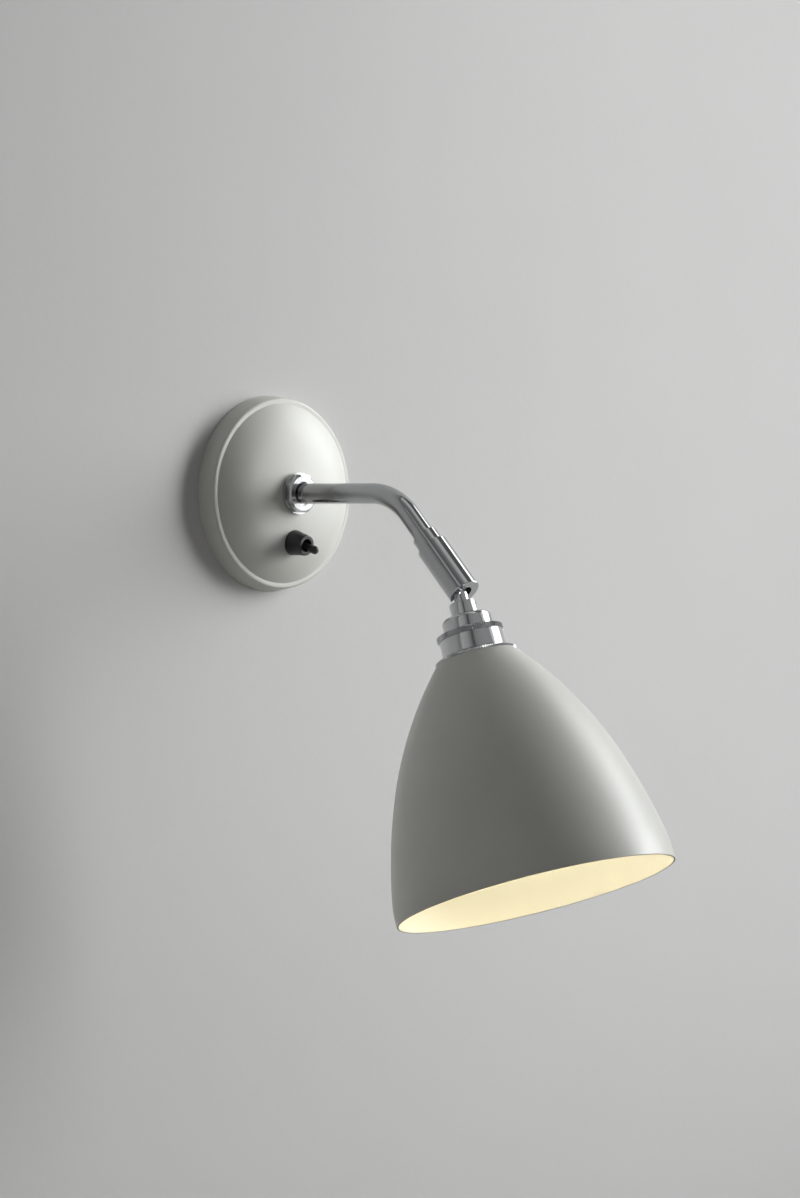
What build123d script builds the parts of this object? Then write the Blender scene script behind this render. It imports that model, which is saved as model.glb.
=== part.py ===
from build123d import *

import os
from math import acos, asin, atan, cos, degrees, hypot, pi, radians, sin, sqrt, tan

# Wall reading lamp: a domed wall plate, a short bent arm, a slotted ball joint
# and a spun shade on a screw lampholder.
#
# Millimetres. The wall is the plane y = 0 and the lamp stands out towards -Y.
# +Z is up and +X is to the right for someone who faces the wall.
# A "depth" is a distance out from the wall, so a point at depth d has y = -d.

# ---------------------------------------------------------------- clearances
running_gap = 0.05  # a shaft turning in its hole, on the radius
ball_gap = 0.05  # ball in its spherical seat, on the radius
swing_gap = 0.15  # stem beside the slot that guides it
loose_gap = 0.2  # a hole over a fixed thread or a shaft end by a stop
end_float = 0.2  # play along the arm between its rings and the bush
lead_gap = 0.4  # insulated lead clear of metal, or of the lead it meets

# ---------------------------------------------------------------- wall plate
sheet = 1.2  # steel sheet of the plate
plate_back_r = 57.9  # edge that lies on the wall
plate_front_r = 56.2  # outside of the rim at the front
rim_depth = 11.8  # wall to the flat ring round the dome
rim_round = 1.5  # rounding between side wall and ring
dome_edge_r = 52.9  # where the dome rises from the ring
dome_height = 12.0  # ring to the crown
crown_r = 190.0  # sphere that the middle of the dome follows
crown_edge_r = 32.0  # where the crown turns down into the shoulder
land_r = 12.6  # flat spot that the cover nut sits on

# ---------------------------------------------------------- bush and its nuts
thread_r = 8.0  # thread on the hollow bush
arm_r = 6.0  # outside of the arm tube
bush_flange_r = 11.0
bush_flange = 2.0
back_nut_flats = 20.0
back_nut_height = 3.0
bush_past_nut = 0.6  # thread that shows behind the back nut
cover_nut_flats = 22.0
cover_nut_sides = 8
cover_nut_height = 5.6
cover_nut_face_r = 10.1  # flat ring on its front, inside the chamfer
cover_nut_flange_r = 12.2
cover_nut_flange = 2.2  # thickness
cover_nut_lip = 1.2  # thickness of the inturned front lip
cover_nut_bore_r = 6.95  # hole in that lip
nut_chamfer = 30.0  # degrees

# ------------------------------------------------------------- wall bracket
bracket_sheet = 2.0
bracket_half_length = 46.0
bracket_width = 26.0
bracket_bridge_depth = 17.0  # wall to the front of the raised middle
bracket_bridge_half = 22.0  # half the length of the raised middle
bracket_bend_r = 2.0  # bend, on the middle of the sheet
fixing_spacing = 70.0  # between the two wall screw slots
fixing_slot_r = 2.4
fixing_slot_length = 9.6
tongue_top = 36.0
tongue_half = 12.0
stop_width = 4.0  # tab that ends the turning of the arm
stop_inner_r = 12.6

# ----------------------------------------------------------- terminal block
block_half = 12.4
block_bottom = 20.5
block_height = 14.0
block_depth = 10.0  # along the depth
block_pitch = 8.0
block_ways = 3
block_wire_depth = 9.0  # depth of the row of wire holes
block_screw_r = 1.7
block_wire_r = 1.5
block_fixing_r = 1.25
block_groove = 1.2  # groove between two ways, over a fixing screw
block_groove_depth = 3.0
block_nut_r = 2.3
block_nut_height = 1.2
block_barrel_wall = 0.9
block_barrel_inset = 1.0  # barrel's end behind the face of the block
block_screw_sunk = 0.8  # clamping screws below the face of the block
block_screw_grip = 0.4  # their reach into the wire's bore
driver_slot = 0.6
driver_slot_depth = 0.9
screw_past_nut = 0.8

# --------------------------------------------------------------- earth screw
earth_screw_r = 1.75
earth_head_r = 3.4
earth_head = 2.0
earth_washer = 0.8
earth_washer_r = 4.2
earth_from_riser = 6.6  # screw to the middle of the bracket's riser
earth_drop = 7.6  # screw below the bush

# -------------------------------------------------------------------- switch
switch_radius = 28.8  # centre of the plate to the switch, downwards
switch_length = 21.0
switch_width = 12.6
switch_corner = 1.2
switch_well = 2.0  # blind end of the lever's bore, behind the body's face
switch_body_depth = 11.0
switch_neck_r = 5.0
switch_neck = 8.8  # neck in front of the plate's outer face
bezel_base_r = 7.5
bezel_front_r = 6.0
bezel_length = 10.8
bezel_mouth_r = 3.9
bezel_round = 0.7
lever_ball_r = 3.2
lever_pivot = 5.0  # pivot in front of the plate's outer face
lever_root_r = 1.9
lever_tip_r = 2.5
lever_tip_round = 2.0
lever_end = 20.0  # rounded end in front of the plate's outer face
lever_droop = 7.0  # degrees, lever below the switch axis at rest
lever_taper_start = 0.55  # share of the lever's reach
lever_taper_end = 0.72
lever_tail = 1.6  # behind the ball
terminal_width = 4.0
terminal_length = 4.6
terminal_sheet = 0.8

# ----------------------------------------------------------------------- arm
arm_wall = 1.2
arm_inner_depth = 6.5  # end of the tube behind the bracket
arm_corner_depth = 102.7  # where the two straight runs would meet
arm_bend_r = 42.0
arm_drop = 45.0  # degrees below level after the bend
ring_groove = 0.4  # depth of the grooves in the tube
ring_sheet = 1.0
ring_outer_r = 7.6
ring_opening = 60.0  # degrees cut out of the spring ring
collar_r = 9.4
collar_length = 3.0
stop_lug_width = 4.0
stop_lug_root = 0.8  # lug's root inside the collar
collar_screw_r = 1.0
collar_screw_sunk = 0.4

# ------------------------------------------------- barrel of the ball joint
corner_to_pivot = 69.6  # arm's corner to the centre of the ball
barrel_r = 9.2
barrel_bore_r = 7.5
barrel_back = 26.5  # ball centre back to the step
barrel_front = 8.9  # ball centre to the end face
barrel_collar_r = 7.6
barrel_collar_back = 35.0  # ball centre back to the top of the collar
barrel_bore_back = 23.4  # ball centre back to the shoulder inside
ball_r = 7.25
stem_r = 4.3
slot_centre = 2.0  # slot's round end, in front of the ball centre
tube_end_back = 24.2  # ball centre back to the end of the arm tube
grub_back = 29.6  # ball centre back to the grub screw
grub_r = 1.5
grub_proud = 0.8
grub_point_r = 0.8
grub_socket = 1.5  # across the flats
grub_socket_depth = 1.8
barrel_edge = 0.3  # chamfer round the front of the barrel
cup_front = 3.2  # ball centre back to the front edge of the cup
cup_back = 19.6
cup_bore_r = 5.0
dish_r = 7.2
dish_bore_r = 4.4
dish_sheet = 0.6
dishes = 2

# ---------------------------------------------------- head, from ball centre
head_tilt = 20.5  # degrees, head axis out from straight down
lead_way_r = 2.7  # bore through the ball and its stem
lead_flare_r = 5.0  # that bore where it leaves the back of the ball
stem_thread_r = 5.0
stem_past_nut = 1.4
flare_root = 0.6  # the flare meets the bore inside the ball
neck_top = 12.8
neck_r = 7.6
neck_edge = 0.5
cap_top = 20.8
cap_r = 14.1
cap_wall = 1.3
cap_round = 2.6
cap_top_wall = 1.6
cap_seat = 1.6  # cap's edge inside the union ring
union_top = 29.8
union_r = 18.95
union_edge = 0.6
body_top = 32.8
body_r = 18.05
holder_wall = 1.3
body_edge = 0.4
shade_nut_top = 42.6
shade_nut_r = 22.95
shade_nut_hub_r = 19.8
shade_nut_hub = 1.4
shade_top = 45.4
skirt_r = 17.3
skirt_end = 64.0
knurls = 60
knurl_depth = 0.35
inner_nut_r = 21.0
inner_nut_height = 3.0
nipple_nut_flats = 15.0
nipple_nut_height = 3.0

# --------------------------------------------------------------------- shade
shade_sheet = 1.0
shade_rim_r = 78.4
shade_hem_start = -4.0  # degrees between the wall and the axis, at the rim
shade_hem_r = 60.0
shade_hem_end = 9.6
shade_body_r = 300.0
shade_body_end = 20.6
shade_shoulder_r = 214.0
shade_top_r = 22.7

# ------------------------------------------------------- lampholder and bulb
insulator_base = 6.0
insulator_floor = 1.6  # under the shell and the contact
insulator_end = 46.0
shell_r = 13.6  # outside of the screw shell
shell_sheet = 0.4
shell_end = 62.0
shell_floor_inner_r = 7.8
contact_width = 5.0
contact_sheet = 0.6
contact_reach = 6.0  # sprung part of the contact
contact_foot = 4.0
contact_bend_y = 1.0  # where the sprung part leaves the foot
holder_screw_r = 1.8
holder_screw_sunk = 0.6
holder_screw_offset = 9.6
bulb_cap_r = 13.05
bulb_cap_top = 46.4
bulb_cap_end = 69.0
bulb_cap_sheet = 0.5
bulb_contact_r = 4.8
bulb_contact_height = 1.2
bulb_insulator_top = 46.0
bulb_insulator_ring = 2.0
bulb_cap_cone = 3.0
bulb_r = 22.5
bulb_length = 70.0  # contact to the far end of the glass
bulb_neck_r = 12.4
bulb_glass = 0.8
bulb_neck_in = 3.0  # how far the neck stands in the cap

# --------------------------------------------------------------------- leads
lead_r = 1.1
lead_bend_r = 3.4
arm_lead_r = 2.5
head_lead_r = 2.2
lead_wall_depth = 2.4  # lead that runs along the wall
lead_pair_x = 1.3  # half the distance of the two leads that enter the arm
lead_in_block = 1.0
lead_below_block = 2.0
lead_straight = 5.6  # straight run at a blade and at a screw
lead_wall_reach = 13.4  # from the arm's axis to where a lead meets the wall
lead_edge_gap = 3.0  # bend short of the bracket's edge

# ---------------------------------------------------------- worked-out sizes
crown_depth = rim_depth + dome_height
land_depth = crown_depth - (crown_r - sqrt(crown_r**2 - land_r**2))
bridge_back = bracket_bridge_depth - bracket_sheet
back_nut_depth = bridge_back - back_nut_height
bush_back = back_nut_depth - bush_past_nut
cover_nut_front = land_depth + cover_nut_height
ring_depth = cover_nut_front - cover_nut_lip - end_float - ring_sheet
bush_front = ring_depth - end_float
arm_collar_depth = bush_back - end_float - collar_length

barrel_axis = Vector(0, -cos(radians(arm_drop)), -sin(radians(arm_drop)))
nipple_top = cap_top + cap_top_wall + nipple_nut_height
arm_corner = Vector(0, -arm_corner_depth, 0)
pivot = arm_corner + barrel_axis * corner_to_pivot
head_axis = Vector(0, -sin(radians(head_tilt)), -cos(radians(head_tilt)))
switch_slope = degrees(asin(switch_radius / crown_r))
switch_axis = Vector(0, -cos(radians(switch_slope)), -sin(radians(switch_slope)))
switch_seat_depth = crown_depth - crown_r + sqrt(crown_r**2 - switch_radius**2)
switch_seat = Vector(0, -switch_seat_depth, -switch_radius)

# Local frames: Z runs out along the axis of the thing, X is the lamp's X.
outward = Plane(origin=(0, 0, 0), x_dir=(1, 0, 0), z_dir=(0, -1, 0))
barrel_frame = Plane(origin=pivot, x_dir=(1, 0, 0), z_dir=barrel_axis)
head_frame = Plane(origin=pivot, x_dir=(1, 0, 0), z_dir=head_axis)
switch_frame = Plane(origin=switch_seat, x_dir=(1, 0, 0), z_dir=switch_axis)


# ------------------------------------------------------------------- helpers
def place(shape, frame):
    """Carry a shape that is drawn about Z into one of the lamp's frames."""
    return frame.location * shape


def turned(*outline):
    """Solid of revolution about Z, from (radius, height) corners."""
    face = Plane.XZ * make_face(Polyline(*outline, close=True))
    return revolve(face, Axis.Z)


def spun(*edges):
    """Solid of revolution about Z, from edges that close an outline."""
    face = Plane.XZ * make_face(Wire(edges))
    return revolve(face, Axis.Z)


def rod(radius, low, high):
    """Round bar along Z between two heights."""
    return Pos(0, 0, (low + high) / 2) * Cylinder(radius, high - low)


def ring(outer, inner, low, high):
    """Plain ring about Z between two heights."""
    return rod(outer, low, high) - rod(inner, low - 1, high + 1)


def prism(flats, low, high, sides=6):
    """Regular bar along Z with one flat that faces X."""
    shape = RegularPolygon(flats / 2, sides, major_radius=False, rotation=180 / sides)
    return Pos(0, 0, low) * extrude(shape, high - low)


def block(x, y, low, high):
    """Box centred on the Z axis between two heights."""
    return Pos(0, 0, (low + high) / 2) * Box(x, y, high - low)


def knurled(radius, low, high):
    """Disc with a straight knurl of V grooves round its edge."""
    points = []
    for i in range(2 * knurls):
        r = radius if i % 2 else radius - knurl_depth
        points.append((r * cos(pi * i / knurls), r * sin(pi * i / knurls)))
    return Pos(0, 0, low) * extrude(make_face(Polyline(*points, close=True)), high - low)


def lead(radius, points, bends):
    """Insulated lead: straight runs joined by round bends."""
    path = FilletPolyline(*points, radius=bends)
    start = Plane(origin=path @ 0, z_dir=path % 0)
    return sweep(start * Circle(radius), path=path)


def group(*solids):
    """Separate solids that share one node."""
    return Compound(children=list(solids))


# ---------------------------------------------------------------- wall plate
def plate_outline(inset):
    """Dome, ring and side wall as edges, moved in by the sheet for the inside."""
    ring_height = rim_depth - inset
    crown = crown_depth - inset
    flat = land_depth - inset
    front_r = plate_front_r - inset
    back_r = plate_back_r - inset
    round_r = rim_round - min(inset, rim_round / 2)
    slope = asin(crown_edge_r / crown_r)
    middle_r = (land_r + crown_edge_r) / 2
    middle = (middle_r, crown - crown_r + sqrt(crown_r**2 - middle_r**2))
    edge = (crown_edge_r, crown - crown_r * (1 - cos(slope)))
    corner = (front_r - round_r, ring_height)
    side_top = (front_r, ring_height - round_r)
    crown_arc = ThreePointArc((land_r, flat), middle, edge)
    shoulder = TangentArc(edge, (dome_edge_r, ring_height), tangent=(cos(slope), -sin(slope)))
    return [
        Line((0, flat), (land_r, flat)),
        crown_arc,
        shoulder,
        Line((dome_edge_r, ring_height), corner),
        TangentArc(corner, side_top, tangent=(1, 0)),
        Line(side_top, (back_r, 0)),
        Line((back_r, 0), (0, 0)),
        Line((0, 0), (0, flat)),
    ]


def dome_depth(radius):
    """Depth of the dome's outer face at a distance from its centre."""
    if radius <= crown_edge_r:
        return crown_depth - crown_r + sqrt(crown_r**2 - radius**2)
    slope = asin(crown_edge_r / crown_r)
    edge_depth = dome_depth(crown_edge_r)
    across = dome_edge_r - crown_edge_r
    down = edge_depth - rim_depth
    shoulder_r = (across**2 + down**2) / (2 * (down * cos(slope) - across * sin(slope)))
    centre_r = crown_edge_r - shoulder_r * sin(slope)
    centre_depth = edge_depth - shoulder_r * cos(slope)
    return centre_depth + sqrt(shoulder_r**2 - (radius - centre_r) ** 2)


def cover_plate():
    """Spun plate: open at the back, with holes for the bush and the switch."""
    outside = spun(*plate_outline(0))
    inside = spun(*plate_outline(sheet))
    shell = place(outside - inside, outward)
    shell -= place(rod(thread_r + loose_gap, 0, crown_depth + 1), outward)
    return shell - place(rod(switch_neck_r + loose_gap, -4 * sheet, 4 * sheet), switch_frame)


# ------------------------------------------------------------- wall bracket
def slot_hole(x):
    """Slot for a wall screw, drawn across the sheet at one end of the bracket."""
    shape = SlotOverall(fixing_slot_length, 2 * fixing_slot_r)
    return place(Pos(x, 0, -1) * extrude(shape, bracket_sheet + 2), outward)


def stop_tab():
    """Tab bent back from the bridge: the arm's lug meets it at either end."""
    depth = bridge_back - arm_collar_depth
    low = arm_collar_depth
    centre = -(stop_inner_r + bracket_sheet / 2)
    tab = Pos(0, centre, low + depth / 2) * Box(stop_width, bracket_sheet, depth)
    return place(tab, outward)


def wall_bracket():
    """Strap with a raised bridge for the bush, a tongue and a stop tab."""
    half = bracket_sheet / 2
    bridge = bracket_bridge_depth - half
    right = [
        (bracket_bridge_half, bridge),
        (bracket_bridge_half, half),
        (bracket_half_length, half),
    ]
    left = [(-x, d) for x, d in reversed(right)]
    path = FilletPolyline(*left, *right, radius=bracket_bend_r)
    profile = make_face(offset(path, amount=half, kind=Kind.INTERSECTION, side=Side.BOTH))
    strap = Rot(90, 0, 0) * extrude(profile, bracket_width / 2, both=True)
    tongue_height = tongue_top - bracket_width / 2
    tongue = Pos(0, bracket_width / 2 + tongue_height / 2, bridge) * Box(
        2 * tongue_half, tongue_height, bracket_sheet
    )
    metal = place(strap, outward) + place(tongue, outward) + stop_tab()
    metal -= place(rod(thread_r + loose_gap, bridge_back - 1, bracket_bridge_depth + 1), outward)
    for side in (-1, 1):
        metal -= slot_hole(side * fixing_spacing / 2)
    for x in block_fixing_places():
        hole = Pos(x, block_centre_z(), 0) * rod(
            block_fixing_r + loose_gap / 2, bridge_back - 1, bracket_bridge_depth + 1
        )
        metal -= place(hole, outward)
    earth = Pos(*earth_place(), 0) * rod(earth_screw_r, bridge_back - 1, bracket_bridge_depth + 1)
    return metal - place(earth, outward)


def stem_bush():
    """Hollow threaded bush: its flange sits on the bridge, the arm turns in it."""
    flange_front = bracket_bridge_depth + bush_flange
    solid = rod(thread_r, bush_back, bush_front)
    solid += rod(bush_flange_r, bracket_bridge_depth, flange_front)
    return place(solid - rod(arm_r + running_gap, bush_back - 1, bush_front + 1), outward)


def bush_back_nut():
    """Thin hexagon nut that pulls the bush down on the bracket."""
    nut = prism(back_nut_flats, back_nut_depth, bridge_back)
    return place(nut - rod(thread_r, back_nut_depth - 1, bridge_back + 1), outward)


def cover_nut():
    """Chromed flanged nut with an inturned lip: it clamps the plate to the wall."""
    corner_r = cover_nut_flats / 2 / cos(pi / cover_nut_sides)
    rise = (corner_r - cover_nut_face_r) * tan(radians(nut_chamfer))
    back, front = land_depth, cover_nut_front
    turned_body = turned(
        (0, back),
        (corner_r, back),
        (corner_r, front - rise),
        (cover_nut_face_r, front),
        (0, front),
    )
    nut = prism(cover_nut_flats, back, front, cover_nut_sides) & turned_body
    nut += rod(cover_nut_flange_r, back, back + cover_nut_flange)
    nut -= rod(thread_r, back - 1, front - cover_nut_lip)
    return place(nut - rod(cover_nut_bore_r, back, front + 1), outward)


# ----------------------------------------------------------- terminal block
def block_centre_z():
    return block_bottom + block_height / 2


def block_ways_x():
    return [(i - (block_ways - 1) / 2) * block_pitch for i in range(block_ways)]


def block_fixing_places():
    """Fixing screws stand between the ways."""
    ways = block_ways_x()
    return [(a + b) / 2 for a, b in zip(ways, ways[1:])]


def earth_place():
    """Earth screw on the bridge, beside the bush, in the bracket's own x and y."""
    return (bracket_bridge_half - earth_from_riser, -earth_drop)


def block_barrel_r():
    return block_wire_r + block_barrel_wall


def block_screw_offset():
    return block_height / 4


def terminal_block():
    """Three-way screw block behind the tongue, its screws facing the wall."""
    low = bridge_back - block_depth
    body = Pos(0, block_centre_z(), 0) * block(2 * block_half, block_height, low, bridge_back)
    for x in block_fixing_places():
        body -= Pos(x, block_centre_z(), 0) * rod(block_fixing_r, low - 1, bridge_back + 1)
        body -= Pos(x, block_centre_z(), 0) * block(
            block_groove, 2 * block_height, low - 1, low + block_groove_depth
        )
    for x in block_ways_x():
        body -= Pos(x, block_centre_z(), block_wire_depth) * (
            Rot(90, 0, 0) * Cylinder(block_barrel_r(), block_height + 2)
        )
        for side in (-1, 1):
            y = block_centre_z() + side * block_screw_offset()
            body -= Pos(x, y, 0) * rod(block_screw_r + loose_gap, low - 1, block_wire_depth)
    return place(body, outward)


def terminal_barrels():
    """Brass barrel in each way of the block."""
    barrels = []
    for x in block_ways_x():
        length = block_height - 2 * block_barrel_inset
        bar = Rot(90, 0, 0) * Cylinder(block_barrel_r(), length)
        bore = Rot(90, 0, 0) * Cylinder(block_wire_r, block_height)
        barrel = Pos(x, block_centre_z(), block_wire_depth) * (bar - bore)
        for side in (-1, 1):
            y = block_centre_z() + side * block_screw_offset()
            barrel -= Pos(x, y, 0) * rod(block_screw_r, 0, block_wire_depth)
        barrels.append(place(barrel, outward))
    return group(*barrels)


def slotted_screw(radius, low, high):
    """Headless screw with a screwdriver slot in its low end."""
    slot = block(3 * radius, driver_slot, low - 1, low + driver_slot_depth)
    return rod(radius, low, high) - slot


def terminal_screws():
    """Two clamping screws for each way."""
    low = bridge_back - block_depth + block_screw_sunk
    high = block_wire_depth - block_wire_r + block_screw_grip
    screws = []
    for x in block_ways_x():
        for side in (-1, 1):
            y = block_centre_z() + side * block_screw_offset()
            screw = slotted_screw(block_screw_r, low, high)
            screws.append(place(Pos(x, y, 0) * screw, outward))
    return group(*screws)


def block_screws():
    """Screws that hold the block on the tongue, with their heads in its grooves."""
    low = bridge_back - block_depth + block_groove_depth
    nut_top = bracket_bridge_depth + block_nut_height
    screws = []
    for x in block_fixing_places():
        shank = rod(block_fixing_r, low, nut_top + screw_past_nut)
        nut = ring(block_nut_r, block_fixing_r, bracket_bridge_depth, nut_top)
        screws.append(place(Pos(x, block_centre_z(), 0) * (shank + nut), outward))
    return group(*screws)


def earth_screw():
    """Screw and washer that clamp the earth tag on the bridge."""
    x, y = earth_place()
    seat = bridge_back - earth_washer
    head = slotted_screw(earth_head_r, seat - earth_head, seat)
    washer = rod(earth_washer_r, seat, bridge_back)
    shank = rod(earth_screw_r, bridge_back, bracket_bridge_depth + screw_past_nut)
    return place(Pos(x, y, 0) * (head + washer + shank), outward)


# -------------------------------------------------------------------- switch
def switch_front():
    """Outer face of the plate back to the switch, whose corners meet the dome."""
    slope = radians(switch_slope)
    low_edge = switch_width / 2
    corner_r = hypot(switch_length / 2, switch_radius + low_edge * cos(slope))
    fall = switch_seat_depth - low_edge * sin(slope) - dome_depth(corner_r)
    return sheet + fall * cos(slope) + running_gap


def switch_body():
    """Moulded body behind the plate, with the threaded neck that comes through."""
    front = -switch_front()
    body = block(switch_length, switch_width, front - switch_body_depth, front)
    body = fillet(body.edges().filter_by(Axis.Z), switch_corner)
    neck = rod(switch_neck_r, front, switch_neck)
    bore = rod(lever_ball_r + running_gap, front - switch_well, switch_neck + 1)
    return place(body + neck - bore, switch_frame)


def switch_terminals():
    """Two blade terminals on the back of the switch."""
    back = -switch_front() - switch_body_depth
    blades = []
    for x in switch_terminal_places():
        blade = block(terminal_width, terminal_sheet, back - terminal_length, back)
        blades.append(place(Pos(x, 0, 0) * blade, switch_frame))
    return group(*blades)


def switch_terminal_places():
    return [-switch_length / 4, switch_length / 4]


def switch_bezel():
    """Tapered round nut in front of the plate, screwed on the neck."""
    body = turned((0, 0), (bezel_base_r, 0), (bezel_front_r, bezel_length), (0, bezel_length))
    front = faces_at(body, bezel_length)
    body = fillet(front.edges(), bezel_round)
    body -= rod(switch_neck_r, -1, switch_neck + loose_gap)
    mouth = turned(
        (0, switch_neck),
        (lever_ball_r + running_gap, switch_neck),
        (bezel_mouth_r, bezel_length),
        (bezel_mouth_r, bezel_length + 1),
        (0, bezel_length + 1),
    )
    return place(body - mouth, switch_frame)


def faces_at(solid, height):
    """The flat face of a turned solid at one height."""
    return solid.faces().filter_by(Axis.Z).filter_by_position(Axis.Z, height - 0.01, height + 0.01)[0]


def switch_lever():
    """Dolly: a ball in the neck, and a lever with a rounded, thicker end."""
    reach = lever_end - lever_pivot
    shaft = turned(
        (0, 0),
        (lever_root_r, 0),
        (lever_root_r, reach * lever_taper_start),
        (lever_tip_r, reach * lever_taper_end),
        (lever_tip_r, reach),
        (0, reach),
    )
    shaft = fillet(faces_at(shaft, reach).edges(), lever_tip_round)
    tail = rod(lever_root_r, -lever_ball_r - lever_tail, 0)
    lever = Sphere(lever_ball_r) + shaft + tail
    return place(Pos(0, 0, lever_pivot) * (Rot(lever_droop, 0, 0) * lever), switch_frame)


# ----------------------------------------------------------------------- arm
def arm_path(radius_of_bend=arm_bend_r):
    start = (0, -arm_inner_depth, 0)
    end = pivot - barrel_axis * tube_end_back
    return FilletPolyline(start, arm_corner, end, radius=radius_of_bend)


def groove(radius, low, high):
    """Ring of metal that a groove takes out of the tube."""
    return ring(arm_r + 1, radius, low, high)


def arm_tube():
    """Bent tube with a groove for the spring ring and one for the grub screw."""
    path = arm_path()
    start = Plane(origin=path @ 0, z_dir=path % 0)
    outside = sweep(start * Circle(arm_r), path=path)
    inside = sweep(start * Circle(arm_r - arm_wall), path=path)
    groove_r = arm_r - ring_groove
    tube = outside - inside
    tube -= place(groove(groove_r, ring_depth, ring_depth + ring_sheet), outward)
    low = -grub_back - grub_point_r - loose_gap
    high = -grub_back + grub_point_r + loose_gap
    return tube - place(groove(groove_r, low, high), barrel_frame)


def arm_spring_ring():
    """Spring ring in the groove in front of the bush: it stops the arm going in."""
    disc = ring(ring_outer_r, arm_r - ring_groove, ring_depth, ring_depth + ring_sheet)
    x = 2 * ring_outer_r * sin(radians(ring_opening / 2))
    y = 2 * ring_outer_r * cos(radians(ring_opening / 2))
    wedge = make_face(Polyline((0, 0), (x, y), (-x, y), close=True))
    return place(disc - extrude(wedge, 2 * crown_depth), outward)


def arm_collar():
    """Collar behind the bush: it keeps the arm in, and its lug ends the turning."""
    low, high = arm_collar_depth, arm_collar_depth + collar_length
    root_r = collar_r - stop_lug_root
    lug_r = stop_inner_r + bracket_sheet - loose_gap
    lug = Pos(0, (root_r + lug_r) / 2, (low + high) / 2) * Box(
        stop_lug_width, lug_r - root_r, collar_length
    )
    body = rod(collar_r, low, high) + lug
    body -= rod(arm_r, low - 1, high + 1)
    return place(body - collar_screw_bar(0, 2 * collar_r), outward)


def collar_screw_bar(inner, outer):
    """Bar through the side of the collar, between two distances from the arm's axis."""
    middle = arm_collar_depth + collar_length / 2
    bar = Rot(0, 90, 0) * Cylinder(collar_screw_r, outer - inner)
    return Pos((inner + outer) / 2, 0, middle) * bar


def collar_screw():
    """Set screw in the side of the collar, down on the tube."""
    return place(collar_screw_bar(arm_r, collar_r - collar_screw_sunk), outward)


def arm_lead():
    """Bundle of leads inside the tube, from its back end to the ball."""
    start = (0, -arm_inner_depth, 0)
    end = pivot - barrel_axis * (ball_r + lead_gap)
    return lead(arm_lead_r, [start, arm_corner, end], arm_bend_r)


# ----------------------------------------------------- barrel of the ball joint
def joint_barrel():
    """Barrel with a spherical seat, a hole for the stem and a slot to swing in."""
    seat_r = ball_r + ball_gap
    slot_half = stem_r + swing_gap
    outside = turned(
        (0, -barrel_collar_back),
        (barrel_collar_r, -barrel_collar_back),
        (barrel_collar_r, -barrel_back),
        (barrel_r, -barrel_back),
        (barrel_r, barrel_front),
        (0, barrel_front),
    )
    outside = chamfer(faces_at(outside, barrel_front).edges(), barrel_edge)
    bore = rod(arm_r + running_gap, -barrel_collar_back - 1, -barrel_bore_back)
    bore += rod(barrel_bore_r, -barrel_bore_back, 0)
    barrel = outside - bore - Sphere(seat_r) - rod(slot_half, 0, barrel_front + 1)
    # The slot leaves the hole on the side away from the arm's elbow.
    reach = 2 * barrel_r
    channel = Pos(0, -reach / 2, (slot_centre + barrel_front + 1) / 2) * Box(
        2 * slot_half, reach, barrel_front + 1 - slot_centre
    )
    round_end = Pos(0, -reach / 2, slot_centre) * (Rot(90, 0, 0) * Cylinder(slot_half, reach))
    barrel -= channel + round_end
    return place(barrel - grub_shape(0), barrel_frame)


def grub_shape(proud):
    """Set screw through the collar's underside, its point in the tube's groove."""
    outer = barrel_collar_r + proud
    inner = arm_r - ring_groove + running_gap
    shank = rod(grub_r, arm_r + running_gap, outer)
    point = rod(grub_point_r, inner, arm_r + running_gap)
    return Pos(0, 0, -grub_back) * (Rot(90, 0, 0) * (shank + point))


def barrel_grub_screw():
    """Black set screw with a hexagon socket."""
    outer = barrel_collar_r + grub_proud
    socket = Rot(90, 0, 0) * prism(grub_socket, outer - grub_socket_depth, outer + 1)
    return place(grub_shape(grub_proud) - Pos(0, 0, -grub_back) * socket, barrel_frame)


def ball_cup():
    """Pressure cup behind the ball, hollow for the leads."""
    cup = rod(barrel_bore_r - running_gap, -cup_back, -cup_front)
    cup -= rod(cup_bore_r, -cup_back - 1, 0)
    return place(cup - Sphere(ball_r + ball_gap), barrel_frame)


def dish_springs():
    """Two dished spring washers, back to back, that load the cup."""
    room = barrel_bore_back - cup_back
    rise = (room - 2 * dish_sheet) / dishes
    washers = []
    for i in range(dishes):
        near = -barrel_bore_back if i == 0 else -cup_back
        step = 1 if i == 0 else -1
        outline = [
            (dish_r, near),
            (dish_r, near + step * dish_sheet),
            (dish_bore_r, near + step * (dish_sheet + rise)),
            (dish_bore_r, near + step * rise),
        ]
        washers.append(place(turned(*outline), barrel_frame))
    return group(*washers)


# ---------------------------------------------------------------------- head
def ball_stem():
    """Ball with a hollow stem: a flare at its back lets the leads bend."""
    stem = rod(stem_r, 0, neck_top) + rod(stem_thread_r, neck_top, nipple_top + stem_past_nut)
    solid = Sphere(ball_r) + stem
    bore = rod(lead_way_r, -ball_r, union_top)
    flare = turned((0, 0), (lead_way_r - flare_root, 0), (lead_flare_r, -ball_r), (0, -ball_r))
    return place(solid - bore - flare, head_frame)


def neck_collar():
    """Round lock nut on the stem, on top of the lampholder's cap."""
    body = turned((0, neck_top), (neck_r, neck_top), (neck_r, cap_top), (0, cap_top))
    body = chamfer(faces_at(body, neck_top).edges(), neck_edge)
    return place(body - rod(stem_thread_r, neck_top - 1, cap_top + 1), head_frame)


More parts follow.
